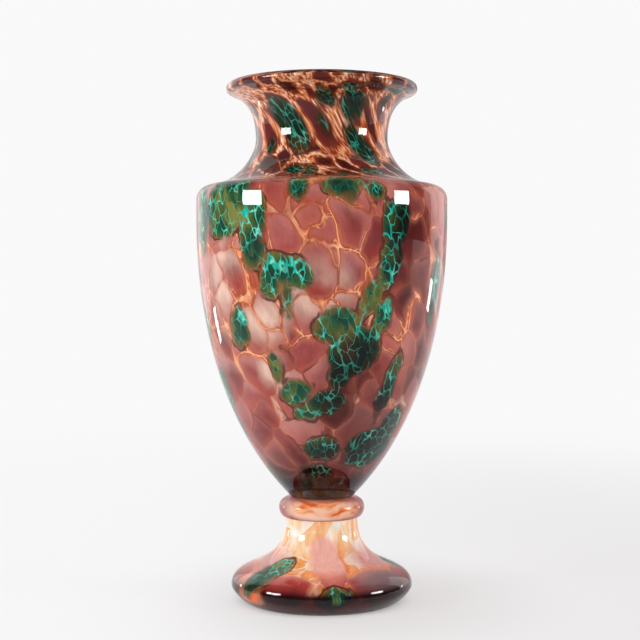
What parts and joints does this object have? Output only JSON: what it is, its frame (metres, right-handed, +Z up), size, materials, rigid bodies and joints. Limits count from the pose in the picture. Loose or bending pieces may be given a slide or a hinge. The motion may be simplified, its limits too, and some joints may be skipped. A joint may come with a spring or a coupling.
{
  "type": "urn vase",
  "caption": "Footed urn vase of cased mottled glass: bell foot, beaded collar, swelling bowl with a square shoulder, waisted neck and flared lip.",
  "frame": {"origin": "on the table, at the middle of the foot's ground ring", "axes": "+Z up along the axis the vase is turned on; X and Y lie in the table plane"},
  "size_m": [0.175, 0.175, 0.3601],
  "materials": {
    "clear_casing": "polished clear glass",
    "clear_lining": "polished clear glass",
    "bowl_mottle": "mottled rose, orange and green glass",
    "neck_mottle": "streaked dark rose, orange and green glass",
    "foot_mottle": "mottled peach, rose and green glass",
    "collar_glass": "polished pale rose glass",
    "joining_glass": "streaked peach glass"
  },
  "bodies": {
    "root": {"foot_casing": "clear_casing", "foot_colour": "foot_mottle", "foot_lining": "clear_lining", "joining_bit": "joining_glass", "collar_bead": "collar_glass", "bowl_casing": "clear_casing", "bowl_colour": "bowl_mottle", "bowl_lining": "clear_lining", "neck_casing": "clear_casing", "neck_colour": "neck_mottle", "neck_lining": "clear_lining"}
  },
  "joints": []
}
